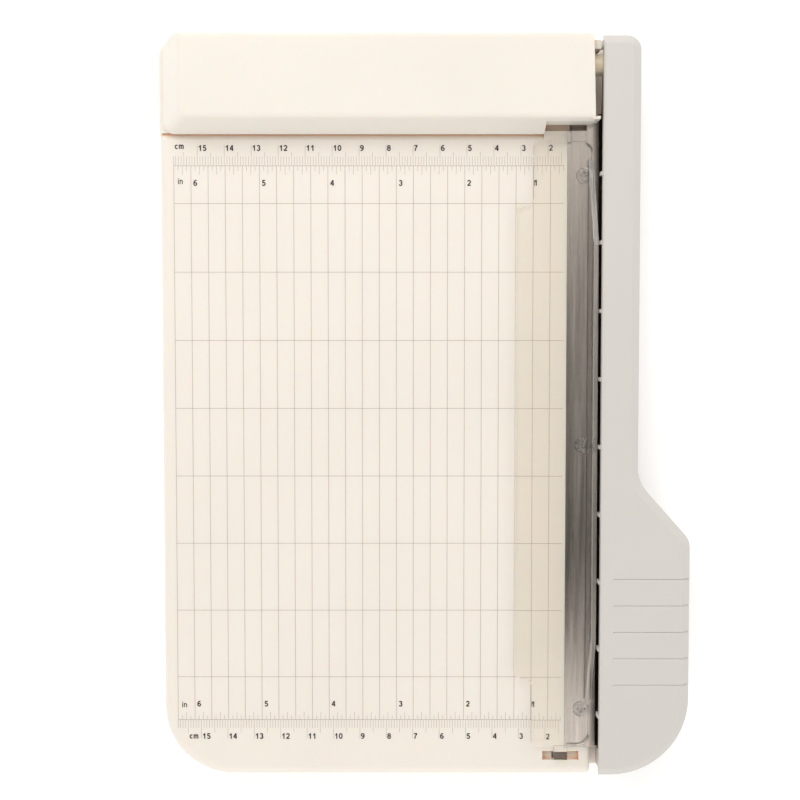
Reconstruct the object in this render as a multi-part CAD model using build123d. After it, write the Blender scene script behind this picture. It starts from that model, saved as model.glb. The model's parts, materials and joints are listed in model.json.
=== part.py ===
"""A desktop guillotine paper cutter for sheets up to 15 cm (6 in) wide, in millimetres.

+X is to the right, +Y to the hinge end at the rear, +Z up. The origin is the centre of the
footprint, at table height. The arm is shut, so the two blades overlap along the cutting line.
"""

from build123d import *
import os

os.makedirs("parts", exist_ok=True)

# ---- driving dimensions ------------------------------------------------------------------
BASE_REACH = 164.0  # the scales' zero to the left edge of the base
HANDLE_REACH = 32.6  # the scales' zero to the right edge of the handle
LENGTH = 276.0
CUT_X = (BASE_REACH - HANDLE_REACH) / 2  # the zero of the printed scales
EDGE_X = CUT_X - 1.2  # the steel strip's cutting edge
FRONT, REAR = -LENGTH / 2, LENGTH / 2
LEFT = CUT_X - BASE_REACH
BASE_RIGHT = EDGE_X - 1.7  # the steel strip overhangs the base

RIM_Z = 2.0  # lower rim of the base, above the feet
DECK_Z = 16.0  # the surface that the paper lies on
DECK_THICK = 2.8
WALL = 2.5
DECK_UNDER = DECK_Z - DECK_THICK
EDGE_ROUND = 3.5
CORNER_R = 26.0
REAR_CORNER_R = 7.0

HEADER_FRONT = 103.0
HEADER_TOP = 30.0
HEADER_WALL = 2.0
HEADER_RIGHT = CUT_X - 4.0
HEADER_LEFT = LEFT + 1.6
HEADER_CORNER_R, HEADER_ROUND = 4.0, 2.4
HEADER_LEFT_SLOPE = 8.4
HEADER_FRONT_SLOPE = 5.2
NOTCH_LEFT = CUT_X - 21.5
NOTCH_FACE = 106.4
HEADER_END_SKEW = 0.9  # the right end leans this much to the left at the rear
CREASE_WIDTH, CREASE_DEPTH = 2.0, 1.2  # the groove that the header's front edge stands in

STRIP_WIDTH = 11.6
STRIP_THICK = 2.0
STRIP_FRONT, STRIP_REAR = -127.2, 104.1
TANG_WIDTH, TANG_REAR = 4.4, 108.6
STRIP_BED_Z = 9.0
STRIP_SCREW_X = CUT_X - 6.5
STRIP_SCREW_PITCH = 100.0
STRIP_SCREW_MIDDLE = -12.4
STRIP_SCREW_YS = [STRIP_SCREW_MIDDLE + STRIP_SCREW_PITCH * k for k in (-1, 0, 1)]

PIVOT_Y, PIVOT_Z = 127.0, 23.0
BOLT_R = 2.5
RUNNING = 0.05  # radial clearance of the pivot in its bores
SPRING_END, SPRING_START = CUT_X - 17.85, CUT_X - 10.35  # the faces of the two washers
BLADE_GAP = 0.08  # between the two blades
BLADE_THICK = 1.6
BLADE_LEFT = CUT_X + 0.08  # the blade's side is relieved above its cutting land
LAND_LEFT = EDGE_X + BLADE_GAP
LAND_TOP = 12.5
BLADE_RIGHT = BLADE_LEFT + BLADE_THICK
BLADE_TOP = 28.2

ARM_BOTTOM, ARM_TOP = 9.0, 31.0
ARM_LEFT = CUT_X - 1.3
ARM_RIGHT = CUT_X + 13.3
ARM_REAR, ARM_FRONT = 137.8, -134.9
ARM_DRAFT = 2.5  # degrees
ARM_WALL = 2.2
ARM_CHAMFER = 3.0
ARM_ROOF = 2.5
LIP_BOTTOM = 27.0
WEB_LEFT = BLADE_RIGHT + 0.07
WEB_RIGHT = WEB_LEFT + 2.25
SHOULDER_Y = -24.6  # where the arm's right edge starts to widen into the handle
HANDLE_Y = -46.2
HANDLE_CORNER_R = 29.5
RIB_PITCH = 25.0
RIB_THICK = 1.6
GROOVE_YS = [-60.7 - 9.8 * k for k in range(5)]
GROOVE_WIDTH, GROOVE_DEPTH = 0.8, 0.45

GUARD_GAP = 0.6  # room for paper under the guard
GUARD_THICK = 2.2
GUARD_LOW = DECK_Z + GUARD_GAP
GUARD_HIGH = GUARD_LOW + GUARD_THICK
GUARD_RIGHT = CUT_X - 3.5
FENCE_TOP = 28.0
FENCE_THICK = 2.0
FENCE_LEAN = 1.1
REAR_SLOT = (CUT_X - 21.3, CUT_X - 5.8, 104.25, 106.9)  # x0, x1, y0, y1 of the guard's slots
FRONT_SLOT = (CUT_X - 20.9, CUT_X - 7.2, -132.2, -128.8)
REAR_TAB = (CUT_X - 11.3, CUT_X - 6.1)  # x0, x1 of the guard's tabs in them
FRONT_TAB = (CUT_X - 16.8, CUT_X - 11.8)
TAB_THICK = 1.7
TAB_BOTTOM = 8.4
BARB_TOP = 10.6  # the guard can rise until its barbs meet the deck's underside
RECESS_FLOOR = DECK_Z - 2.2  # beside its tab, each slot is only a shallow recess
POCKET_FLOOR, POCKET_BOTTOM = 7.0, 5.8

FOOT_R, FOOT_SINK = 5.0, 1.5
FOOT_XS = {"left": -82.0, "right": 46.0}
FOOT_YS = {"front": -120.0, "middle": 0.0, "rear": 122.0}
HEADER_SCREWS = [(-62.0, 121.0), (-14.0, 121.0), (32.0, 121.0)]
BRACKET_SCREWS = [(CUT_X - 12.5, 116.8), (CUT_X - 22.0, 116.8)]
ARM_SCREWS = [(CUT_X + 7.6, 95.0), (CUT_X + 7.6, 4.0), (CUT_X + 18.0, -56.0), (CUT_X + 18.0, -106.0)]
BLADE_SCREW_YS = [84.0, 18.0, -48.0, -114.0]
BLADE_SCREW_Z = 15.0
SCREW_R = 1.5
HEAD_GAP = 0.22  # between a countersunk head's rim and its hole
LEDGE_TOP = 4.4  # the base reaches under the arm as a low ledge
BUMPER_X, BUMPER_Y, BUMPER_R = CUT_X + 5.2, -130.8, 2.4
BUMPER_TOP = ARM_BOTTOM - 0.3


# ---- helpers -----------------------------------------------------------------------------
def block(x0, x1, y0, y1, z0, z1):
    """A box between two corners."""
    return Pos((x0 + x1) / 2, (y0 + y1) / 2, (z0 + z1) / 2) * Box(x1 - x0, y1 - y0, z1 - z0)


def post(x, y, radius, z0, z1):
    """An upright cylinder."""
    return Pos(x, y, (z0 + z1) / 2) * Cylinder(radius, z1 - z0)


def axle(radius, x0, x1, y=PIVOT_Y, z=PIVOT_Z):
    """A cylinder that lies along X."""
    return Pos((x0 + x1) / 2, y, z) * Rot(0, 90, 0) * Cylinder(radius, x1 - x0)


def outline(corners):
    """A flat face from (x, y, corner radius) points, in order."""
    face = make_face(Polyline([(x, y) for x, y, _ in corners], close=True))
    for x, y, radius in corners:
        if radius:
            corner = face.vertices().sort_by_distance((x, y, 0))[0]
            face = fillet(corner, radius)
    return face


def side_profile(points, x0, x1):
    """A solid between two X planes from (y, z) points."""
    face = make_face(Polyline([(x0, y, z) for y, z in points], close=True))
    return extrude(face, amount=x1 - x0, dir=(1, 0, 0))


def front_profile(points, y0, y1):
    """A solid between two Y planes from (x, z) points."""
    face = make_face(Polyline([(x, y0, z) for x, z in points], close=True))
    return extrude(face, amount=y1 - y0, dir=(0, 1, 0))


def cross_recess(size, depth):
    """The Phillips recess of a screw whose head's top is at z = 0."""
    arm = Box(size, size * 0.28, depth)
    return Pos(0, 0, -depth / 2) * (arm + Rot(0, 0, 90) * arm)


def countersunk_screw(head_r, length):
    """A countersunk screw that points down, the top of its head at z = 0."""
    cone_height = head_r - SCREW_R
    cone = Pos(0, 0, -cone_height / 2) * Cone(SCREW_R, head_r, cone_height)
    return cone + post(0, 0, SCREW_R, -length, -cone_height) - cross_recess(head_r * 1.15, 1.4)


def pan_screw(length):
    """A pan-head screw that points down, the underside of its head at z = 0."""
    head = fillet(post(0, 0, 2.7, 0, 1.9).edges().group_by(Axis.Z)[-1], 0.9)
    return head + post(0, 0, SCREW_R - 0.25, -length, 0) - Pos(0, 0, 1.9) * cross_recess(3.0, 1.1)


def group(solids):
    """Separate solids that share one node."""
    return Compound(children=list(solids))


# ---- base --------------------------------------------------------------------------------
def base_shell():
    """The deck and walls of the base, open underneath."""
    front_part = outline(
        [
            (LEFT, FRONT, CORNER_R),
            (BASE_RIGHT, FRONT, 0),
            (BASE_RIGHT, HEADER_FRONT, 0),
            (LEFT, HEADER_FRONT, 0),
        ]
    )
    rear_part = outline(
        [
            (LEFT, HEADER_FRONT, 0),
            (BASE_RIGHT, HEADER_FRONT, 0),
            (BASE_RIGHT, REAR, 1.5),
            (LEFT, REAR, REAR_CORNER_R),
        ]
    )
    deck = Pos(0, 0, RIM_Z) * extrude(front_part, DECK_Z - RIM_Z)
    rounded = [
        edge
        for edge in deck.edges().group_by(Axis.Z)[-1]
        if edge.center().X < LEFT + CORNER_R and edge.center().Y < HEADER_FRONT - 1
        or edge.center().Y < FRONT + 1
    ]
    deck = fillet(rounded, EDGE_ROUND)
    corner = [edge for edge in deck.edges().filter_by(Axis.Z) if edge.center().X > BASE_RIGHT - 1]
    deck = fillet([edge for edge in corner if edge.center().Y < FRONT + 5], 1.5)
    return deck + Pos(0, 0, RIM_Z) * extrude(rear_part, DECK_Z - RIM_Z)


def base_cavity():
    """The space under the deck."""
    inner = outline(
        [
            (LEFT + WALL, FRONT + WALL, CORNER_R - WALL),
            (BASE_RIGHT - WALL, FRONT + WALL, 1),
            (BASE_RIGHT - WALL, REAR - WALL, 1),
            (LEFT + WALL, REAR - WALL, REAR_CORNER_R - WALL),
        ]
    )
    return Pos(0, 0, RIM_Z) * extrude(inner, DECK_UNDER - RIM_Z)


def base_ribs():
    """The stiffening grid under the deck, before it is cut to the cavity."""
    rib_bottom, columns, rows = 4.0, 7, 6
    step_x = (BASE_RIGHT - LEFT) / columns
    step_y = LENGTH / rows
    ribs = block(CUT_X - 14, BASE_RIGHT, FRONT, STRIP_REAR + 6, STRIP_BED_Z, DECK_UNDER)
    for k in range(1, columns):
        x = LEFT + step_x * k
        ribs += block(x - 0.9, x + 0.9, FRONT, REAR, rib_bottom, DECK_UNDER)
    for k in range(1, rows):
        y = FRONT + step_y * k
        ribs += block(LEFT, BASE_RIGHT, y - 0.9, y + 0.9, rib_bottom, DECK_UNDER)
    hinge_wall = block(CUT_X - 8.9, CUT_X - 6.4, 107, REAR, rib_bottom, DECK_UNDER)
    hinge_floor = block(CUT_X - 6.5, BASE_RIGHT, 107, REAR, rib_bottom, 6)
    return ribs + hinge_wall + hinge_floor


def base_bosses():
    """Solid posts under the deck for the feet and the screws."""
    bosses = [post(x, y, FOOT_R + 2, RIM_Z, DECK_UNDER) for x in FOOT_XS.values() for y in FOOT_YS.values()]
    bosses += [post(STRIP_SCREW_X, y, 3.6, 4, DECK_UNDER) for y in STRIP_SCREW_YS]
    bosses += [post(x, y, 3.5, 6, DECK_UNDER) for x, y in BRACKET_SCREWS]
    return bosses


def strip_outline(grow=0.0):
    """The steel strip from above: full width, then a narrow tang that runs under the header."""
    left = EDGE_X - STRIP_WIDTH - grow
    tang_left = EDGE_X - TANG_WIDTH - grow
    return outline(
        [
            (left, STRIP_FRONT - grow, 0),
            (EDGE_X, STRIP_FRONT - grow, 0),
            (EDGE_X, TANG_REAR + grow, 0),
            (tang_left, TANG_REAR + grow, 0),
            (tang_left, STRIP_REAR + grow, 0),
            (left, STRIP_REAR + grow, 0),
        ]
    )


def tab_pocket(slot, tab, side):
    """The pocket for a tab, wider under the deck on the side of the barb."""
    low = slot[2] - (1.6 if side > 0 else 0)
    high = slot[3] + (0 if side > 0 else 1.6)
    return block(tab[0] - 0.4, tab[1] + 0.4, low, high, POCKET_FLOOR, DECK_UNDER)


def base_board():
    board = base_shell() - base_cavity()
    ribs = base_ribs()
    for x, y in HEADER_SCREWS:
        ribs -= post(x, y, 4.2, 0, DECK_UNDER)
    for slot, tab, side in ((REAR_SLOT, REAR_TAB, 1), (FRONT_SLOT, FRONT_TAB, -1)):
        pocket = tab_pocket(slot, tab, side)
        ribs += block(slot[0] - 1.2, slot[1] + 1.2, slot[2] - 2.8, slot[3] + 2.8, POCKET_BOTTOM, DECK_UNDER)
        ribs -= pocket
    board += ribs & base_cavity()
    for boss in base_bosses():
        board += boss & base_cavity()
    board += block(BASE_RIGHT - 1, CUT_X + 8.6, FRONT + 1, REAR - 0.3, RIM_Z, LEDGE_TOP)
    board -= post(BUMPER_X, BUMPER_Y, BUMPER_R + 0.05, LEDGE_TOP - 0.8, LEDGE_TOP)
    board -= header_crease()
    board -= Pos(0, 0, DECK_Z - STRIP_THICK) * extrude(strip_outline(0.05), STRIP_THICK)
    for slot, tab in ((REAR_SLOT, REAR_TAB), (FRONT_SLOT, FRONT_TAB)):
        board -= block(*slot, RECESS_FLOOR, DECK_Z)
        board -= block(tab[0] - 0.4, tab[1] + 0.4, slot[2], slot[3], POCKET_FLOOR, DECK_Z)
    for y in STRIP_SCREW_YS:
        board -= post(STRIP_SCREW_X, y, SCREW_R + 0.05, 5, DECK_Z)
    for x, y in HEADER_SCREWS:
        board -= post(x, y, SCREW_R + 0.15, RIM_Z, DECK_Z)
    for x, y in BRACKET_SCREWS:
        board -= post(x, y, SCREW_R - 0.2, 7, DECK_Z)
    for x in FOOT_XS.values():
        for y in FOOT_YS.values():
            board -= post(x, y, FOOT_R + 0.05, RIM_Z, RIM_Z + FOOT_SINK)
    board -= block(CUT_X - 6.4, BASE_RIGHT + 1, TANG_REAR + 0.05, REAR - 3.7, 6, DECK_Z)
    return board


def header_crease():
    """A groove in the deck, deepest under the header's front edge."""
    return side_profile(
        [
            (HEADER_FRONT - CREASE_WIDTH, DECK_Z + 0.01),
            (HEADER_FRONT + 0.4, DECK_Z + 0.01),
            (HEADER_FRONT + 0.4, DECK_Z - CREASE_DEPTH),
        ],
        LEFT + 1,
        NOTCH_LEFT,
    )


def foot(x, y):
    body = post(x, y, FOOT_R, 0, RIM_Z + FOOT_SINK)
    return chamfer(body.edges().group_by(Axis.Z)[0], 0.6)


def arm_bumper():
    body = post(BUMPER_X, BUMPER_Y, BUMPER_R, LEDGE_TOP - 0.8, BUMPER_TOP)
    return fillet(body.edges().group_by(Axis.Z)[-1], 0.5)


# ---- header ------------------------------------------------------------------------------
def header_form(inset, top):
    """The header's outer or inner form: sloped in front and on the left, upright elsewhere."""
    slope_left = HEADER_LEFT_SLOPE / (HEADER_TOP - DECK_Z)
    slope_front = HEADER_FRONT_SLOPE / (HEADER_TOP - DECK_Z)
    x0, y0 = HEADER_LEFT + inset, HEADER_FRONT + inset
    plan = outline(
        [
            (x0, y0, 0),
            (HEADER_RIGHT - inset, y0, 0),
            (HEADER_RIGHT - HEADER_END_SKEW - inset, REAR - inset, 0),
            (x0, REAR - inset, REAR_CORNER_R - inset),
        ]
    )
    height = top - DECK_Z
    rise = 1.4  # the front edge stands upright to this height before the slope starts
    front_top = y0 + slope_front * (height - rise)
    slab = Pos(0, 0, DECK_Z) * extrude(plan, height)
    side = side_profile(
        [(y0, DECK_Z), (y0, DECK_Z + rise), (front_top, top), (REAR, top), (REAR, DECK_Z)],
        LEFT - 1,
        HEADER_RIGHT + 1,
    )
    left_top = x0 + slope_left * (height - rise)
    face = front_profile(
        [(x0, DECK_Z), (x0, DECK_Z + rise), (left_top, top), (CUT_X, top), (CUT_X, DECK_Z)],
        HEADER_FRONT - 1,
        REAR + 1,
    )
    return slab & side & face


def is_front_left(edge):
    """The two edges, upright and slanted, where the header's front meets its left side."""
    middle = edge.center()
    near = middle.X < HEADER_LEFT + HEADER_LEFT_SLOPE and middle.Y < HEADER_FRONT + HEADER_FRONT_SLOPE
    return near and DECK_Z + 0.2 < middle.Z < HEADER_TOP - 0.2


def header_cover():
    form = header_form(0, HEADER_TOP)
    form = fillet([edge for edge in form.edges() if is_front_left(edge)], HEADER_CORNER_R)
    top = form.edges().group_by(Axis.Z)[-1]
    soft = [edge for edge in top if edge.center().Y < REAR - 8 and edge.center().X < HEADER_RIGHT - 3]
    form = fillet(soft, HEADER_ROUND)
    behind = block(LEFT - 5, CUT_X, HEADER_FRONT - 5, REAR, 0, HEADER_TOP)
    rear_top = behind.edges().filter_by(Axis.X).group_by(Axis.Z)[-1].group_by(Axis.Y)[-1]
    form &= fillet(rear_top, 2)
    cavity = header_form(HEADER_WALL, HEADER_TOP - HEADER_WALL)
    cover = form - cavity
    behind_notch = block(NOTCH_LEFT - 2, HEADER_RIGHT, NOTCH_FACE, NOTCH_FACE + 2.2, DECK_Z, HEADER_TOP - 1)
    cover += behind_notch & form
    cover -= block(NOTCH_LEFT, HEADER_RIGHT + 1, HEADER_FRONT - 1, NOTCH_FACE, DECK_Z - 1, HEADER_TOP + 1)
    cover += block(HEADER_RIGHT - 2, CUT_X - 1.9, REAR - 5.6, REAR - 2.4, DECK_Z, 27)
    cover += block(HEADER_RIGHT - 1, CUT_X - 2.2, NOTCH_FACE + 0.6, NOTCH_FACE + 1.6, DECK_Z + 0.3, 29)
    cover -= block(HEADER_RIGHT - 3, HEADER_RIGHT + 0.1, PIVOT_Y - 4, PIVOT_Y + 4, DECK_Z - 1, PIVOT_Z + 4.1)
    for x, y in HEADER_SCREWS:
        cover += post(x, y, 3.5, DECK_Z, HEADER_TOP - HEADER_WALL)
        cover -= post(x, y, SCREW_R - 0.2, DECK_Z - 1, HEADER_TOP - 5)
    return cover


def hinge_bracket():
    foot_plate = block(CUT_X - 26, CUT_X - 7.3, 113.5, 135, DECK_Z, DECK_Z + 2)
    cheek = block(CUT_X - 9.2, CUT_X - 7.3, 119, 135, DECK_Z, 27.4)
    bracket = foot_plate + cheek
    bracket = fillet(bracket.edges().filter_by(Axis.X).group_by(Axis.Z)[-1], 4)
    for x, y in BRACKET_SCREWS:
        bracket -= post(x, y, SCREW_R + 0.1, DECK_Z - 1, DECK_Z + 3)
    return bracket - axle(BOLT_R + RUNNING, CUT_X - 10, CUT_X - 6)


# ---- pivot -------------------------------------------------------------------------------
def ring(outer, inner, x0, x1):
    return axle(outer, x0, x1) - axle(inner, x0 - 1, x1 + 1)


def pivot_spacer():
    return ring(3.9, BOLT_R + RUNNING, CUT_X - 7.25, CUT_X + 0.03)


def pivot_bolt():
    head = Pos(WEB_RIGHT + 0.02, PIVOT_Y, PIVOT_Z) * Rot(0, 90, 0) * extrude(RegularPolygon(4.4, 6), 3.2)
    shank = axle(BOLT_R, CUT_X - 25.1, WEB_RIGHT + 1)
    end = shank.edges().filter_by(GeomType.CIRCLE).group_by(Axis.X)[0]
    return head + chamfer(end, 0.5)


def pivot_spring():
    """A compression spring with a round wire, between the two washers."""
    wire_r, coil_r, turns = 0.5, 3.9, 4.5
    length = SPRING_START - SPRING_END - 2 * wire_r - 0.1
    path = Helix(pitch=length / turns, height=length, radius=coil_r)
    section = Plane(path @ 0, z_dir=path % 0) * Circle(wire_r)
    coil = sweep(section, path=path, is_frenet=True)
    return Pos(SPRING_END + wire_r + 0.05, PIVOT_Y, PIVOT_Z) * Rot(0, 90, 0) * coil


def lock_nut():
    start = SPRING_END - 5.9
    body = Pos(start, PIVOT_Y, PIVOT_Z) * Rot(0, 90, 0) * extrude(RegularPolygon(4.6, 6), 4.7)
    return body - axle(BOLT_R + 0.02, start - 1, start + 6)


# ---- blades and guard --------------------------------------------------------------------
def cutting_strip():
    strip = Pos(0, 0, DECK_Z - STRIP_THICK) * extrude(strip_outline(), STRIP_THICK)
    for y in STRIP_SCREW_YS:
        strip -= Pos(STRIP_SCREW_X, y, DECK_Z) * countersunk_hole()
    return strip


def countersunk_hole(head_r=2.8):
    """The countersunk hole that a screw of that head sits in, open upwards at z = 0."""
    cone_height = head_r - SCREW_R
    cone = Pos(0, 0, -cone_height / 2) * Cone(SCREW_R + 0.2, head_r + HEAD_GAP, cone_height)
    return cone + post(0, 0, SCREW_R + 0.15, -6, 0)


def strip_screws():
    return group(Pos(STRIP_SCREW_X, y, DECK_Z - 0.12) * countersunk_screw(2.8, 9.5) for y in STRIP_SCREW_YS)


def moving_blade():
    """The blade in the arm: straight back, bowed cutting edge, ground on its right side."""
    rear, front = 134.6, -127.6
    heel = (103.0, 11.0)
    toe = (front + 3.5, 6.4)
    edge = ThreePointArc((0, *heel), (0, 0.0, 7.0), (0, *toe))
    rest = Polyline(
        [
            (0, *toe),
            (0, front, 9.5),
            (0, front, BLADE_TOP - 2),
            (0, front + 2, BLADE_TOP),
            (0, rear, BLADE_TOP),
            (0, rear, 17.0),
            (0, *heel),
        ]
    )
    face = make_face([edge, rest])
    blade = Pos(LAND_LEFT, 0, 0) * extrude(face, amount=BLADE_RIGHT - LAND_LEFT, dir=(1, 0, 0))
    blade -= block(LAND_LEFT - 1, BLADE_LEFT, FRONT, REAR, LAND_TOP, 40)
    ground = [
        e
        for e in blade.edges().filter_by_position(Axis.X, BLADE_RIGHT - 0.01, BLADE_RIGHT + 0.01)
        if e.center().Z < 12 and e.length > 100
    ]
    side = blade.faces().sort_by(Axis.X)[-1]
    blade = chamfer(ground, 2.8, 1.3, reference=side)
    blade -= axle(BOLT_R + RUNNING, BLADE_LEFT - 1, BLADE_RIGHT + 1)
    for y in BLADE_SCREW_YS:
        blade -= Pos(BLADE_LEFT, y, BLADE_SCREW_Z) * Rot(0, -90, 0) * countersunk_hole(2.3)
    return blade


def blade_screws():
    screw = Rot(0, -90, 0) * countersunk_screw(2.3, 6.5)
    return group(Pos(BLADE_LEFT + 0.03, y, BLADE_SCREW_Z) * screw for y in BLADE_SCREW_YS)


def clear_guard():
    """The transparent plate over the paper's edge, with a fence that keeps fingers off the blades."""
    left, end_left = CUT_X - 32.0, CUT_X - 25.4
    front, rear = -126.4, 100.2
    step_front, step_rear = -100.5, 76.6
    plan = outline(
        [
            (end_left, front, 2),
            (GUARD_RIGHT, front, 4.5),
            (GUARD_RIGHT, rear, 4.0),
            (end_left, rear, 2),
            (end_left, step_rear, 3),
            (left, step_rear, 3),
            (left, step_front, 3),
            (end_left, step_front, 3),
        ]
    )
    plate = Pos(0, 0, GUARD_LOW) * extrude(plan, GUARD_THICK)
    guard = fillet(plate.edges().group_by(Axis.Z)[-1], 0.5) + guard_fence()
    guard = fillet(guard.edges().filter_by(is_fence_top), 0.6)
    guard += guard_end(rear, REAR_SLOT, REAR_TAB, 1)
    return guard + guard_end(front, FRONT_SLOT, FRONT_TAB, -1)


def is_fence_top(edge):
    """The long upper edges of the fence, which are rounded."""
    return edge.center().Z > FENCE_TOP - 0.1 and edge.length > 50


def guard_fence():
    fence = front_profile(
        [
            (GUARD_RIGHT - FENCE_THICK, GUARD_LOW + 1),
            (GUARD_RIGHT, GUARD_LOW + 1),
            (GUARD_RIGHT + FENCE_LEAN, FENCE_TOP),
            (GUARD_RIGHT + FENCE_LEAN - FENCE_THICK, FENCE_TOP),
        ],
        -120,
        110,
    )
    ramps = side_profile(
        [(-109.0, GUARD_HIGH - 1), (-109.0, GUARD_HIGH), (-83.5, FENCE_TOP), (61.5, FENCE_TOP)]
        + [(93.5, GUARD_HIGH), (93.5, GUARD_HIGH - 1)],
        GUARD_RIGHT - 4,
        GUARD_RIGHT + 4,
    )
    return fence & ramps


def guard_end(plate_end, slot, tab, side):
    """The neck from the plate's end to its slot, and the barbed tab that goes down through it."""
    x0, x1 = tab
    outer = slot[3] - 0.9 if side > 0 else slot[2] + 0.9
    inner = outer - side * TAB_THICK
    neck = block(x0, x1, *sorted((plate_end - side * 2, outer)), GUARD_LOW, GUARD_HIGH)
    pad = block(x0, x1, *sorted((plate_end, outer)), DECK_Z + 0.05, GUARD_LOW + 0.5)
    leg = block(x0, x1, *sorted((inner, outer)), TAB_BOTTOM, GUARD_HIGH)
    barb = block(x0 + 1, x1 - 1, *sorted((inner + side * 0.5, inner - side * 1.1)), TAB_BOTTOM, BARB_TOP)
    return neck + pad + leg + barb


# ---- arm ---------------------------------------------------------------------------------
def arm_plan(inset=0.0, left=CUT_X - 8):
    """The arm from above: a narrow bar that widens into the handle at the front."""
    right, handle = ARM_RIGHT - inset, CUT_X + HANDLE_REACH - inset
    return outline(
        [
            (left, ARM_FRONT + inset, 0),
            (handle, ARM_FRONT + inset, HANDLE_CORNER_R - inset),
            (handle, HANDLE_Y - inset * 0.4, 8 - inset),
            (right, SHOULDER_Y + inset * 0.4, 13 + inset),
            (right, ARM_REAR - inset, 6 - inset),
            (left, ARM_REAR - inset, 0),
        ]
    )


def arm_form():
    form = Pos(0, 0, ARM_BOTTOM) * extrude(arm_plan(), ARM_TOP - ARM_BOTTOM, taper=ARM_DRAFT)
    form &= block(ARM_LEFT, CUT_X + 50, -150, 150, 0, 50)
    rim = [e for e in form.edges().group_by(Axis.Z)[-1] if e.center().X > ARM_LEFT + 1]
    form = chamfer(rim, ARM_CHAMFER)
    left_edge = form.edges().filter_by(Axis.Y).group_by(Axis.X)[0].group_by(Axis.Z)[-1]
    return chamfer(left_edge, 0.7)


def arm_hollow():
    """The channel in the arm, to the right of the web that the blade is screwed to."""
    hollow = Pos(0, 0, ARM_BOTTOM) * extrude(
        arm_plan(ARM_WALL), ARM_TOP - ARM_ROOF - ARM_BOTTOM, taper=ARM_DRAFT
    )
    return hollow & block(WEB_RIGHT, CUT_X + 50, -150, 150, 0, 50)


def arm_ribs():
    ribs = []
    y = STRIP_SCREW_YS[-1]
    while y > ARM_FRONT + 8:
        ribs.append(block(WEB_RIGHT - 1, CUT_X + 50, y - RIB_THICK / 2, y + RIB_THICK / 2, 13, ARM_TOP))
        y -= RIB_PITCH
    return ribs


def arm_cover():
    form = arm_form()
    hollow = arm_hollow()
    cover = form - hollow - block(ARM_LEFT - 1, CUT_X + 0.03, -150, 150, 0, LIP_BOTTOM)
    for rib in arm_ribs():
        cover += rib & hollow
    for x, y in ARM_SCREWS:
        cover += post(x, y, 3.2, ARM_BOTTOM + 2.1, ARM_TOP - 1) & hollow
    for y in BLADE_SCREW_YS:
        cover += axle(3.4, WEB_RIGHT - 1, WEB_RIGHT + 3.4, y, BLADE_SCREW_Z) & hollow
    for y in [STRIP_SCREW_YS[0] + RIB_PITCH * k for k in range(9)]:
        cover += block(ARM_LEFT - 0.4, CUT_X + 0.5, y - 0.7, y + 0.7, 23, 27.5)
    cover -= block(CUT_X + 0.03, WEB_LEFT, -128.2, 135.2, 0, BLADE_TOP + 0.1)
    cover -= block(ARM_LEFT - 1, CUT_X + 0.1, 118, 136, 0, PIVOT_Z + 4.4)
    cover -= axle(BOLT_R + RUNNING, CUT_X - 5, WEB_RIGHT + 2)
    for x, y in ARM_SCREWS:
        cover -= post(x, y, SCREW_R - 0.2, ARM_BOTTOM, 21)
    for y in BLADE_SCREW_YS:
        cover -= axle(SCREW_R + 0.03, WEB_LEFT - 1, BLADE_LEFT + 7, y, BLADE_SCREW_Z)
    for y in GROOVE_YS:
        cover -= grip_groove(y)
    return cover


def grip_groove(y):
    """A groove over the handle's top and its bevelled right edge, steep behind and sloped in front."""
    bend = CUT_X + HANDLE_REACH - 1.0 - ARM_CHAMFER
    behind, before = y + GROOVE_WIDTH * 0.3, y - GROOVE_WIDTH * 0.7
    section = [(behind, 0.5), (behind, -GROOVE_DEPTH), (before, 0), (before, 0.5)]
    flat = Pos(0, 0, ARM_TOP) * side_profile(section, CUT_X + 3.4, bend)
    bevel = Pos(bend, 0, ARM_TOP) * Rot(0, 45, 0) * side_profile(section, 0, ARM_CHAMFER * 1.6)
    return flat + bevel


def arm_base_plate():
    """The plate that closes the arm from below."""
    plate = Pos(0, 0, ARM_BOTTOM) * extrude(arm_plan(ARM_WALL + 0.15), 2)
    plate &= block(WEB_RIGHT + 0.1, CUT_X + 50, -150, 150, 0, 50)
    for x, y in ARM_SCREWS:
        plate -= post(x, y, SCREW_R + 0.1, 0, 20)
    return plate


def arm_screws():
    screw = Rot(180, 0, 0) * pan_screw(9)
    return group(Pos(x, y, ARM_BOTTOM) * screw for x, y in ARM_SCREWS)


# ---- write every node --------------------------------------------------------------------
nodes = {
    "base_board": base_board(),
    "header_cover": header_cover(),
    "cutting_strip": cutting_strip(),
    "strip_screws": strip_screws(),
    "clear_guard": clear_guard(),
    "hinge_bracket": hinge_bracket(),
    "bracket_screws": group(Pos(x, y, DECK_Z + 2) * pan_screw(8) for x, y in BRACKET_SCREWS),
    "header_screws": group(Pos(x, y, DECK_UNDER) * Rot(180, 0, 0) * pan_screw(10) for x, y in HEADER_SCREWS),
    "pivot_spacer": pivot_spacer(),
    "pivot_bolt": pivot_bolt(),
    "bracket_washer": ring(4.6, BOLT_R + 0.1, SPRING_START, SPRING_START + 1.1),
    "pivot_spring": pivot_spring(),
    "nut_washer": ring(4.6, BOLT_R + 0.1, SPRING_END - 1.1, SPRING_END),
    "lock_nut": lock_nut(),
    "arm_cover": arm_cover(),
    "arm_base_plate": arm_base_plate(),
    "moving_blade": moving_blade(),
    "blade_screws": blade_screws(),
    "arm_screws": arm_screws(),
    "arm_bumper": arm_bumper(),
}
for row, foot_y in FOOT_YS.items():
    for side, foot_x in FOOT_XS.items():
        nodes[f"foot_{row}_{side}"] = foot(foot_x, foot_y)

for name, shape in nodes.items():
    export_step(shape, f"parts/{name}.step")
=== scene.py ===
"""The looks of a guillotine paper cutter: satin mouldings, steel, a clear guard and printed scales."""

import json
import math

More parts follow.
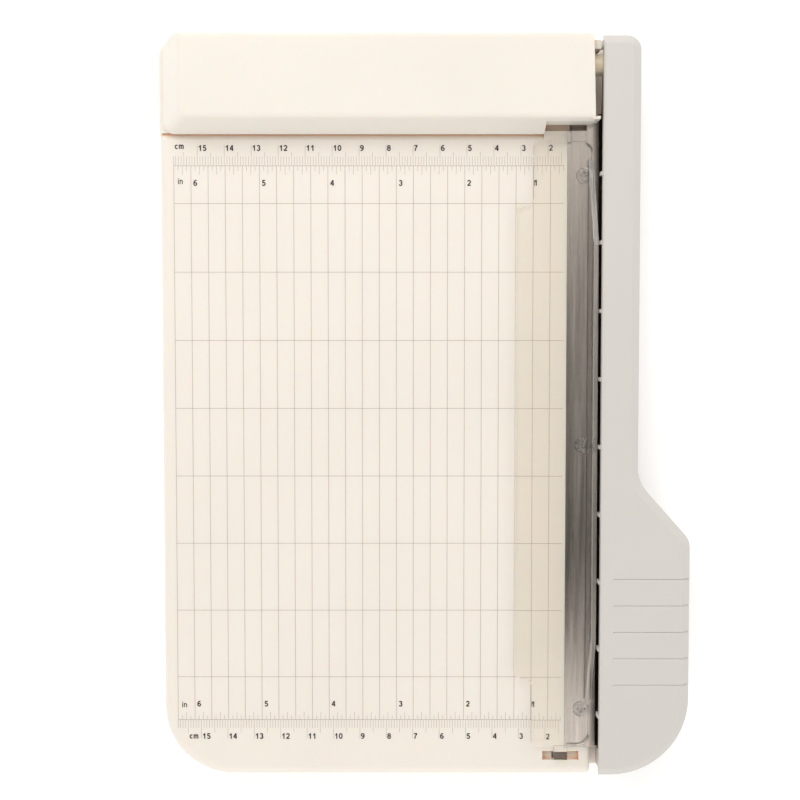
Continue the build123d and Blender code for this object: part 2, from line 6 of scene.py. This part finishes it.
import bmesh
import bpy
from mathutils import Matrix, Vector


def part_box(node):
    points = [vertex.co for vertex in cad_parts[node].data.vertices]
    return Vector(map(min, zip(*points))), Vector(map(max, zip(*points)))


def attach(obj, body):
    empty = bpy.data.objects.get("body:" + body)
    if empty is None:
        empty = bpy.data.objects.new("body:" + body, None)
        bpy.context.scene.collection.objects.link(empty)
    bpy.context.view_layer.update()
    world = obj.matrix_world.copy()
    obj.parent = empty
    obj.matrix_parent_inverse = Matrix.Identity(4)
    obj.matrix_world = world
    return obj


MM = 0.001
INCH = 25.4 * MM

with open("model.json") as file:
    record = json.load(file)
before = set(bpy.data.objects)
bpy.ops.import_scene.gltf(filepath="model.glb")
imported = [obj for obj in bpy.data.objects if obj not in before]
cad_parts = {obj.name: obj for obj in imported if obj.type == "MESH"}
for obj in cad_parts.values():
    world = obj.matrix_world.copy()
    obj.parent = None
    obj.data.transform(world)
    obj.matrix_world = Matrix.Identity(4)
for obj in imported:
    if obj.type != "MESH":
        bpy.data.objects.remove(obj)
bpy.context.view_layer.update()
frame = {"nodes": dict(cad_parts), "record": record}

# ---- places taken from the frame ---------------------------------------------------------
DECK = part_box("base_board")[1].z
ZERO_PAST_STRIP = 1.2 * MM
CUT_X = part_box("cutting_strip")[1].x + ZERO_PAST_STRIP  # both scales count from here


# ---- node helpers ------------------------------------------------------------------------
class Nodes:
    """A material and short ways to add nodes to it."""

    def __init__(self, name):
        self.material = bpy.data.materials.new(name)
        self.material.use_nodes = True
        self.tree = self.material.node_tree
        self.shader = self.tree.nodes["Principled BSDF"]

    def add(self, kind, **values):
        node = self.tree.nodes.new(kind)
        for key, value in values.items():
            setattr(node, key, value)
        return node

    def link(self, source, target):
        self.tree.links.new(source, target)

    def set(self, **sockets):
        for name, value in sockets.items():
            self.shader.inputs[name.replace("_", " ")].default_value = value

    def position(self, scale=(1, 1, 1)):
        """Object coordinates in metres, stretched."""
        mapping = self.add("ShaderNodeMapping")
        mapping.inputs["Scale"].default_value = scale
        self.link(self.add("ShaderNodeTexCoord").outputs["Object"], mapping.inputs["Vector"])
        return mapping.outputs["Vector"]

    def noise(self, size, detail=3.0, stretch=(1, 1, 1), roughness=0.55):
        """Noise with features of that size in metres."""
        node = self.add("ShaderNodeTexNoise")
        node.inputs["Scale"].default_value = 1 / size
        node.inputs["Detail"].default_value = detail
        node.inputs["Roughness"].default_value = roughness
        self.link(self.position(stretch), node.inputs["Vector"])
        return node.outputs["Fac"]

    def ramp(self, source, stops):
        """A colour ramp from (position, colour) stops."""
        node = self.add("ShaderNodeValToRGB")
        elements = node.color_ramp.elements
        while len(elements) < len(stops):
            elements.new(0.5)
        for element, (place, colour) in zip(elements, stops):
            element.position = place
            element.color = (*colour, 1)
        self.link(source, node.inputs["Fac"])
        return node.outputs["Color"]

    def between(self, source, low, high):
        """A number that runs from low to high as the source runs from 0.3 to 0.7."""
        node = self.add("ShaderNodeMapRange")
        node.inputs["From Min"].default_value = 0.3
        node.inputs["From Max"].default_value = 0.7
        node.inputs["To Min"].default_value = low
        node.inputs["To Max"].default_value = high
        self.link(source, node.inputs["Value"])
        return node.outputs["Result"]

    def in_crevices(self, colour, shade_tint, reach):
        """The colour with painted shade: darkened and warmed by the shade tint where the piece shelters
        itself within that reach.
        """
        occlusion = self.add("ShaderNodeAmbientOcclusion", samples=8, only_local=True)
        occlusion.inputs["Distance"].default_value = reach
        amount = self.add("ShaderNodeMapRange")
        amount.inputs["From Min"].default_value = 0.35
        amount.inputs["From Max"].default_value = 0.92
        self.link(occlusion.outputs["AO"], amount.inputs["Value"])
        painted_shade = self.add("ShaderNodeMix", data_type="RGBA")
        painted_shade.inputs[6].default_value = (*shade_tint, 1)
        self.link(amount.outputs["Result"], painted_shade.inputs[0])
        self.link(colour, painted_shade.inputs[7])
        return painted_shade.outputs[2]

    def bump(self, *layers):
        """Bump from (height source, depth in metres) layers, one on the next."""
        normal = None
        for source, depth in layers:
            node = self.add("ShaderNodeBump")
            node.inputs["Distance"].default_value = depth
            node.inputs["Strength"].default_value = 1.0
            self.link(source, node.inputs["Height"])
            if normal:
                self.link(normal, node.inputs["Normal"])
            normal = node.outputs["Normal"]
        self.link(normal, self.shader.inputs["Normal"])


def srgb(red, green, blue):
    """Linear colour from 0-255 display values."""
    channels = []
    for value in (red, green, blue):
        c = value / 255
        channels.append(c / 12.92 if c <= 0.04045 else ((c + 0.055) / 1.055) ** 2.4)
    return tuple(channels)


def shade(colour, factor):
    return tuple(c * factor for c in colour)


# ---- materials ---------------------------------------------------------------------------
def moulded_plastic(name, colour, roughness, grain_depth, translucent, crevice_shade=True):
    """Satin injection moulding: fine spark-eroded grain, faint flow marks in colour and gloss, and,
    unless turned off, painted warm shade in its crevices.
    """
    m = Nodes(name)
    cloud = m.noise(0.06, detail=2)
    body = m.ramp(cloud, [(0.3, shade(colour, 0.985)), (0.7, shade(colour, 1.01))])
    if crevice_shade:
        # painted shade: crevices and slots darkened and warmed where the moulding shelters itself
        body = m.in_crevices(body, CREVICE_SHADE_TINT, CREVICE_SHADE_REACH)
    m.link(body, m.shader.inputs["Base Color"])
    gloss = m.between(m.noise(0.012), roughness - 0.04, roughness + 0.05)
    m.link(gloss, m.shader.inputs["Roughness"])
    m.bump((m.noise(0.00035, detail=2), grain_depth), (m.noise(0.03, detail=1), grain_depth * 3))
    m.set(IOR=PLASTIC_IOR, Specular_IOR_Level=0.45)
    m.set(Subsurface_Weight=translucent, Subsurface_Scale=0.004, Subsurface_Radius=(1.0, 0.55, 0.3))
    return m.material


def brushed_steel(name, colour, roughness, along):
    """Ground steel: fine scratches along one axis, and faint stains."""
    m = Nodes(name)
    stretch = tuple(0.012 if axis == along else 1.0 for axis in "xyz")
    lines = m.noise(0.00022, detail=4, stretch=stretch, roughness=0.65)
    broad = m.noise(0.0022, detail=2, stretch=tuple(0.03 if s < 1 else 1.0 for s in stretch))
    scratched = m.ramp(lines, [(0.25, shade(colour, 0.8)), (0.75, shade(colour, 1.14))])
    m.link(scratched, m.shader.inputs["Base Color"])
    m.link(m.between(broad, roughness - 0.05, roughness + 0.09), m.shader.inputs["Roughness"])
    m.bump((lines, 0.000006))
    m.set(Metallic=1.0)
    return m.material


def blackened_steel(name, colour, bright, land_top):
    """Near-black with mottled patches, painted as shade for the dark gap beside the arm; ground bright
    below land_top, where the blade cuts.
    """
    m = Nodes(name)
    patches = m.noise(0.004, detail=4)
    # painted shade: the blade faces above the land are near-black to darken the gap beside the arm
    gap_shade = m.ramp(patches, [(0.35, shade(colour, 0.8)), (0.75, shade(colour, 1.6))])
    lines = m.noise(0.00022, detail=4, stretch=(1.0, 0.012, 1.0), roughness=0.65)
    ground = m.ramp(lines, [(0.25, shade(bright, 0.8)), (0.75, shade(bright, 1.14))])
    place = m.add("ShaderNodeSeparateXYZ")
    m.link(m.position(), place.inputs["Vector"])
    border = m.add("ShaderNodeMapRange")
    border.inputs["From Min"].default_value = land_top - 0.1 * MM
    border.inputs["From Max"].default_value = land_top
    m.link(place.outputs["Z"], border.inputs["Value"])
    coat = m.add("ShaderNodeMix", data_type="RGBA")
    m.link(border.outputs["Result"], coat.inputs[0])
    m.link(ground, coat.inputs[6])
    m.link(gap_shade, coat.inputs[7])
    m.link(coat.outputs[2], m.shader.inputs["Base Color"])
    m.link(m.between(patches, 0.26, 0.36), m.shader.inputs["Roughness"])
    m.bump((lines, 0.000005))
    m.set(Metallic=1.0)
    return m.material


def plated_steel(name, colour, roughness):
    """Bright zinc plate on screws, washers and brackets."""
    m = Nodes(name)
    cloud = m.noise(0.0018, detail=3)
    plate = m.ramp(cloud, [(0.3, shade(colour, 0.82)), (0.7, shade(colour, 1.1))])
    m.link(plate, m.shader.inputs["Base Color"])
    gloss = m.between(m.noise(0.0006), roughness - 0.06, roughness + 0.1)
    m.link(gloss, m.shader.inputs["Roughness"])
    m.bump((m.noise(0.0004, detail=2), 0.000008))
    m.set(Metallic=1.0)
    return m.material


def clear_plastic(name):
    """Polished acrylic with a few faint rub marks."""
    m = Nodes(name)
    m.link(m.between(m.noise(0.008, detail=3), 0.008, 0.03), m.shader.inputs["Roughness"])
    m.bump((m.noise(0.03, detail=1), 0.00001))
    m.set(Base_Color=(0.99, 0.985, 0.975, 1), Transmission_Weight=1.0, IOR=PLASTIC_IOR)
    lets_light_in = m.add("ShaderNodeBsdfTransparent")
    lets_light_in.inputs["Color"].default_value = (0.74, 0.72, 0.67, 1)
    choose = m.add("ShaderNodeMixShader")
    m.link(m.add("ShaderNodeLightPath").outputs["Is Shadow Ray"], choose.inputs["Fac"])
    m.link(m.shader.outputs["BSDF"], choose.inputs[1])
    m.link(lets_light_in.outputs["BSDF"], choose.inputs[2])
    m.link(choose.outputs["Shader"], m.tree.nodes["Material Output"].inputs["Surface"])
    return m.material


def rubber(name):
    """Black rubber with a little dust on it."""
    m = Nodes(name)
    dust = m.noise(0.004, detail=4)
    dusty = m.ramp(dust, [(0.35, (0.018, 0.017, 0.016)), (0.75, (0.045, 0.043, 0.04))])
    m.link(dusty, m.shader.inputs["Base Color"])
    m.link(m.between(dust, 0.6, 0.85), m.shader.inputs["Roughness"])
    m.bump((m.noise(0.0004), 0.00002))
    return m.material


def printing_ink(name, colour):
    """Screen-printed ink with slightly uneven cover."""
    m = Nodes(name)
    cover = m.noise(0.0009, detail=3)
    ink = m.ramp(cover, [(0.3, shade(colour, 0.9)), (0.7, shade(colour, 1.15))])
    m.link(ink, m.shader.inputs["Base Color"])
    m.link(m.between(cover, 0.4, 0.55), m.shader.inputs["Roughness"])
    return m.material


PLASTIC_IOR = 1.49
CREVICE_SHADE_TINT = srgb(228, 188, 152)  # painted warm shade for creases and slots, in place of light that has gone through the plastic
CREVICE_SHADE_REACH = 2.2 * MM
CREAM = srgb(231, 225, 216)
GREY = srgb(203, 200, 195)
BEIGE = srgb(222, 208, 180)
STEEL = (0.75, 0.705, 0.66)
# near-black painted shade for the moving blade's faces in the gap beside the arm
GAP_SHADE_BLACK = (0.022, 0.02, 0.019)
LAND_TOP = DECK - 3.6 * MM  # the moving blade is ground bright below this height
materials = {
    "cream_plastic": moulded_plastic("cream_moulding", CREAM, 0.42, 0.000012, 0.3),
    "grey_plastic": moulded_plastic("grey_moulding", GREY, 0.4, 0.000012, 0.04, crevice_shade=False),
    "beige_plastic": moulded_plastic("beige_nylon", BEIGE, 0.3, 0.000006, 0.15),
    "clear_plastic": clear_plastic("clear_acrylic"),
    "blade_steel": brushed_steel("ground_steel", STEEL, 0.17, "y"),
    "blackened_steel": blackened_steel("gap_shade_steel", GAP_SHADE_BLACK, STEEL, LAND_TOP),
    "plated_steel": plated_steel("zinc_plate", (0.62, 0.6, 0.57), 0.24),
    "black_rubber": rubber("rubber"),
}
for part in frame["record"]["subparts"]:
    mesh = frame["nodes"][part["node"]].data
    mesh.materials.clear()
    mesh.materials.append(materials[part["material_slot"]])


# ---- printing on the deck ----------------------------------------------------------------
INK_RISE = 0.015 * MM  # height of the ink above the deck
INK_SINK = 0.01 * MM
GRID_LINE = 0.155 * MM
TICK_LINE = 0.12 * MM
CAPITAL = 2.15 * MM  # height of a numeral
CM_SHIFT, INCH_SHIFT, FIRST_INCH_SHIFT = 0.35 * MM, 0.9 * MM, 0.2 * MM  # right of its tick
GRID_LEFT = CUT_X - 6.25 * INCH
GRID_RIGHT = CUT_X - 14.0 * MM
GRID_TOP = 77.5 * MM  # the first full row of squares below the rear scale
ROWS = 8
REAR_LINE = GRID_TOP + 13.9 * MM
FRONT_LINE = GRID_TOP - (ROWS - 1) * INCH - 16.4 * MM


def printed_piece(mesh, name, ink):
    """A printed piece on the base from a finished bmesh."""
    data = bpy.data.meshes.new(name)
    mesh.to_mesh(data)
    mesh.free()
    data.materials.append(ink)
    piece = bpy.data.objects.new(name, data)
    bpy.context.scene.collection.objects.link(piece)
    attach(piece, "base")


class Strips:
    """Flat printed strips gathered into one mesh."""

    def __init__(self):
        self.mesh = bmesh.new()

    def add(self, x0, x1, y0, y1):
        low, high = DECK - INK_SINK, DECK + INK_RISE
        corners = [(x0, y0), (x1, y0), (x1, y1), (x0, y1)]
        lower = [self.mesh.verts.new((x, y, low)) for x, y in corners]
        upper = [self.mesh.verts.new((x, y, high)) for x, y in corners]
        self.mesh.faces.new(lower[::-1])
        self.mesh.faces.new(upper)
        for k in range(4):
            n = (k + 1) % 4
            self.mesh.faces.new((lower[k], lower[n], upper[n], upper[k]))

    def along_x(self, x0, x1, y, width):
        self.add(x0, x1, y - width / 2, y + width / 2)

    def along_y(self, x, y0, y1, width):
        self.add(x - width / 2, x + width / 2, min(y0, y1), max(y0, y1))


def print_grid(ink):
    """Inch rows, and quarter-inch columns that run between the two scales."""
    grid = Strips()
    for row in range(ROWS):
        grid.along_x(GRID_LEFT, GRID_RIGHT, GRID_TOP - row * INCH, GRID_LINE)
    quarters = [q for q in range(3, 26) if CUT_X - q * INCH / 4 < GRID_RIGHT]
    for quarter in quarters:
        grid.along_y(CUT_X - quarter * INCH / 4, FRONT_LINE, REAR_LINE, GRID_LINE)
    for line in (REAR_LINE, FRONT_LINE):
        grid.along_x(GRID_LEFT, GRID_RIGHT, line, GRID_LINE)
    printed_piece(grid.mesh, "printed_grid", ink)


def print_ticks(ink, line, away, lengths, inch_lengths, name):
    """Millimetre ticks on the far side of a scale's line, and sixteenths of an inch on the near side."""
    ticks = Strips()
    for mm in range(15, 159):
        length = lengths[2] if mm % 10 == 0 else lengths[1] if mm % 5 == 0 else lengths[0]
        ticks.along_y(CUT_X - mm * MM, line, line + away * length * MM, TICK_LINE)
    ticks.along_y(GRID_LEFT, line, line + away * lengths[0] * MM, TICK_LINE)
    for sixteenth in range(9, 100):
        if sixteenth % 4:
            length = inch_lengths[1] if sixteenth % 2 == 0 else inch_lengths[0]
            x = CUT_X - sixteenth * INCH / 16
            ticks.along_y(x, line, line - away * length * MM, TICK_LINE)
    printed_piece(ticks.mesh, name, ink)


def arc(x, y, radius_x, radius_y, start, end, steps=10):
    """Points on an ellipse's arc, with angles in degrees."""
    turns = [math.radians(start + (end - start) * k / steps) for k in range(steps + 1)]
    return [(x + radius_x * math.cos(t), y + radius_y * math.sin(t)) for t in turns]


# Centre lines of each sign's strokes: a capital is 1 high, and its stroke is PEN wide.
PEN = 0.2
THIN_PEN = 0.15
LAYER_STEP = 0.2  # each stroke of a sign is this much of INK_RISE higher than the last
GLYPHS = {
    "0": [arc(0.32, 0.5, 0.235, 0.415, 90, 450, 24)],
    "1": [[(0.12, 0.66), (0.29, 0.74), (0.38, 0.92)], [(0.4, 1.0), (0.4, 0.0)]],
    "2": [arc(0.32, 0.68, 0.225, 0.235, 170, -38, 12) + [(0.1, 0.09)], [(0.03, 0.085), (0.61, 0.085)]],
    "3": [arc(0.31, 0.71, 0.2, 0.205, 160, -90, 12), arc(0.31, 0.285, 0.23, 0.22, 90, -165, 14)],
    "4": [[(0.47, 1.0), (0.47, 0.0)], [(0.44, 0.95), (0.08, 0.31)], [(0.02, 0.3), (0.64, 0.3)]],
    "5": [[(0.57, 0.915), (0.19, 0.915), (0.12, 0.5)], arc(0.31, 0.32, 0.235, 0.25, 135, -155, 14)],
    "6": [arc(0.32, 0.31, 0.23, 0.225, 0, 360, 20), arc(0.42, 0.45, 0.335, 0.47, 68, 195, 12)],
    "7": [[(0.04, 0.915), (0.6, 0.915)], [(0.57, 0.92), (0.37, 0.6), (0.24, 0.3), (0.21, 0.0)]],
    "8": [arc(0.32, 0.73, 0.2, 0.19, 0, 360, 18), arc(0.32, 0.29, 0.235, 0.215, 0, 360, 20)],
    "9": [arc(0.32, 0.69, 0.23, 0.225, 0, 360, 20), arc(0.22, 0.55, 0.335, 0.47, 15, -112, 12)],
    "c": [arc(0.3, 0.37, 0.22, 0.29, 45, 315, 14)],
    "m": [[(0.1, 0.74), (0.1, 0.0)]]
    + [arc(x, 0.5, 0.165, 0.165, 180, 0, 8) + [(x + 0.165, 0.0)] for x in (0.265, 0.595)],
    "i": [[(0.1, 0.72), (0.1, 0.0)], [(0.1, 1.0), (0.1, 0.84)]],
    "n": [[(0.1, 0.74), (0.1, 0.0)], arc(0.3, 0.46, 0.2, 0.2, 180, 0, 8) + [(0.5, 0.0)]],
}
ADVANCE = {"m": 0.98, "i": 0.3, "c": 0.68}  # the other signs are DIGIT_ADVANCE wide
DIGIT_ADVANCE = 0.78


def stroke(mesh, points, width, low, high):
    """A ribbon of constant width along a line of points, closed all round."""
    points = [Vector(p) for p in points]
    closed = (points[0] - points[-1]).length < width * 0.05
    if closed:
        points.pop()
    last = len(points) - 1
    rings = []
    for k, point in enumerate(points):
        before = points[k - 1] if k or closed else point
        after = points[(k + 1) % len(points)] if k < last or closed else point
        ahead = (after - point).normalized() if after != point else (point - before).normalized()
        behind = (point - before).normalized() if before != point else ahead
        tangent = (ahead + behind).normalized()
        side = Vector((-tangent.y, tangent.x)) * (width / 2 / max(tangent.dot(ahead), 0.5))
        edges = [(point + side, high), (point - side, high), (point - side, low), (point + side, low)]
        rings.append([mesh.verts.new((*place, z)) for place, z in edges])
    for k in range(len(rings) if closed else last):
        here, there = rings[k], rings[(k + 1) % len(rings)]
        for corner in range(4):
            turn = (corner + 1) % 4
            mesh.faces.new((here[corner], here[turn], there[turn], there[corner]))
    if not closed:
        mesh.faces.new(rings[0][::-1])
        mesh.faces.new(rings[-1])


def letter(text, x, y, name, ink, pen=PEN):
    """A numeral or unit sign with its lower left corner at x, y."""
    mesh = bmesh.new()
    layer = 0
    for sign in text:
        for line in GLYPHS[sign]:
            placed = [(x + px * CAPITAL, y + py * CAPITAL) for px, py in line]
            top = DECK + INK_RISE * (1 + LAYER_STEP * layer)
            stroke(mesh, placed, pen * CAPITAL, DECK - INK_SINK, top)
            layer += 1
        x += ADVANCE.get(sign, DIGIT_ADVANCE) * CAPITAL
    printed_piece(mesh, name, ink)


def print_scales(ink, pale):
    """The rear and front scales: centimetres outside the line, inches inside it."""
    print_ticks(pale, REAR_LINE, 1, (3.5, 5.0, 7.6), (1.9, 3.2), "rear_ticks")
    print_ticks(pale, FRONT_LINE, -1, (3.2, 5.0, 7.2), (1.6, 2.9), "front_ticks")
    for cm in range(2, 16):
        x = CUT_X - cm * 10 * MM + CM_SHIFT
        letter(str(cm), x, REAR_LINE + 5.5 * MM, f"rear_cm_{cm}", ink)
        letter(str(cm), x, FRONT_LINE - 7.4 * MM, f"front_cm_{cm}", ink)
    for inch in range(1, 7):
        x = CUT_X - inch * INCH + (INCH_SHIFT if inch > 1 else FIRST_INCH_SHIFT)
        letter(str(inch), x, REAR_LINE - 7.35 * MM, f"rear_inch_{inch}", ink)
        letter(str(inch), x, FRONT_LINE + 5.0 * MM, f"front_inch_{inch}", ink)
    letter("cm", CUT_X - 158.3 * MM, REAR_LINE + 6.2 * MM, "rear_cm_sign", ink)
    letter("in", CUT_X - 157.3 * MM, REAR_LINE - 6.7 * MM, "rear_inch_sign", ink, pen=THIN_PEN)
    letter("cm", CUT_X - 154.5 * MM, FRONT_LINE - 7.3 * MM, "front_cm_sign", ink)
    letter("in", CUT_X - 157.3 * MM, FRONT_LINE + 4.7 * MM, "front_inch_sign", ink, pen=THIN_PEN)


dark_ink = printing_ink("ink_dark", srgb(40, 28, 24))
pale_ink = printing_ink("ink_pale", srgb(170, 155, 140))
print_grid(pale_ink)
print_scales(dark_ink, pale_ink)


# ---- floor, light and camera -------------------------------------------------------------
AROUND = 0.72  # brightness of the studio all round
# The overhead band: how far each stop leans to the rear, and how bright it is there.
BAND = [
    (-0.9, 0.75),
    (-0.26, 1.1),
    (-0.22, 0.17),
    (-0.165, 0.065),
    (-0.03, 0.19),
    (0.08, 0.4),
    (0.16, 0.9),
    (0.9, 0.75),
]
LENS, SENSOR = 65.96, 36  # in mm
CAMERA_PLACE = (CUT_X - 74.84 * MM, GRID_TOP - 43.13 * MM, DECK + 547.5 * MM)
CAMERA_TILT = -0.0546  # about X, in radians


def make_floor():
    """A pale sweep: a wide flat sheet at table height."""
    sheet = bmesh.new()
    bmesh.ops.create_grid(sheet, x_segments=8, y_segments=8, size=4.0)
    data = bpy.data.meshes.new("studio_floor")
    sheet.to_mesh(data)
    sheet.free()
    m = Nodes("paper_white")
    paper = m.ramp(m.noise(0.5), [(0.3, (0.93, 0.93, 0.93)), (0.7, (0.95, 0.95, 0.95))])
    m.link(paper, m.shader.inputs["Base Color"])
    m.set(Roughness=0.9, Specular_IOR_Level=0.1)
    m.set(Emission_Color=(1, 1, 1, 1), Emission_Strength=0.2)
    data.materials.append(m.material)
    floor = bpy.data.objects.new("studio_floor", data)
    bpy.context.scene.collection.objects.link(floor)


def area_light(name, place, size, power, colour=(1, 1, 1)):
    """A softbox that points at the middle of the board."""
    data = bpy.data.lights.new(name, "AREA")
    data.shape = "RECTANGLE"
    data.size, data.size_y = size
    data.energy = power
    data.color = colour
    lamp = bpy.data.objects.new(name, data)
    lamp.location = place
    lamp.rotation_euler = (Vector((0, 0, 0)) - Vector(place)).to_track_quat("-Z", "Y").to_euler()
    bpy.context.scene.collection.objects.link(lamp)


def make_world():
    """Pale all round, with a dark band nearly overhead that the steel strip mirrors."""
    world = bpy.data.worlds.new("studio")
    world.use_nodes = True
    tree = world.node_tree
    direction = tree.nodes.new("ShaderNodeSeparateXYZ")
    tree.links.new(tree.nodes.new("ShaderNodeTexCoord").outputs["Generated"], direction.inputs["Vector"])
    band = tree.nodes.new("ShaderNodeMapRange")
    band.inputs["From Min"].default_value = -1
    tree.links.new(direction.outputs["Y"], band.inputs["Value"])
    overhead = tree.nodes.new("ShaderNodeValToRGB")
    elements = overhead.color_ramp.elements
    for _ in range(len(BAND) - 2):
        elements.new(0.5)
    for element, (lean, level) in zip(elements, BAND):
        element.position = (lean + 1) / 2
        element.color = (level, level * 0.94, level * 0.89, 1)
    tree.links.new(band.outputs["Result"], overhead.inputs["Fac"])
    height = tree.nodes.new("ShaderNodeMapRange")
    height.interpolation_type = "SMOOTHSTEP"
    height.inputs["From Min"].default_value = 0.72
    height.inputs["From Max"].default_value = 0.93
    tree.links.new(direction.outputs["Z"], height.inputs["Value"])
    sky = tree.nodes.new("ShaderNodeMix")
    sky.data_type = "RGBA"
    sky.inputs[6].default_value = (AROUND, AROUND * 0.985, AROUND * 0.97, 1)
    tree.links.new(height.outputs["Result"], sky.inputs[0])
    tree.links.new(overhead.outputs["Color"], sky.inputs[7])
    tree.links.new(sky.outputs[2], tree.nodes["Background"].inputs["Color"])
    bpy.context.scene.world = world


def make_camera():
    """Nearly straight above the board, tipped slightly about X."""
    data = bpy.data.cameras.new("camera")
    data.lens = LENS
    data.sensor_width = SENSOR
    data.clip_start, data.clip_end = 0.01, 20
    camera = bpy.data.objects.new("camera", data)
    camera.location = CAMERA_PLACE
    camera.rotation_euler = (CAMERA_TILT, 0, 0)
    bpy.context.scene.collection.objects.link(camera)
    bpy.context.scene.camera = camera


make_floor()
make_world()
area_light("key_rear", (-0.25, 0.75, 0.95), (1.2, 0.6), 7.7, (1, 0.99, 0.97))
area_light("fill_front", (-0.2, -1.5, 0.6), (1.8, 0.7), 9)
area_light("side_right", (1.6, 0.2, 0.8), (0.8, 1.4), 4)
make_camera()
bpy.context.scene.view_settings.view_transform = "Standard"
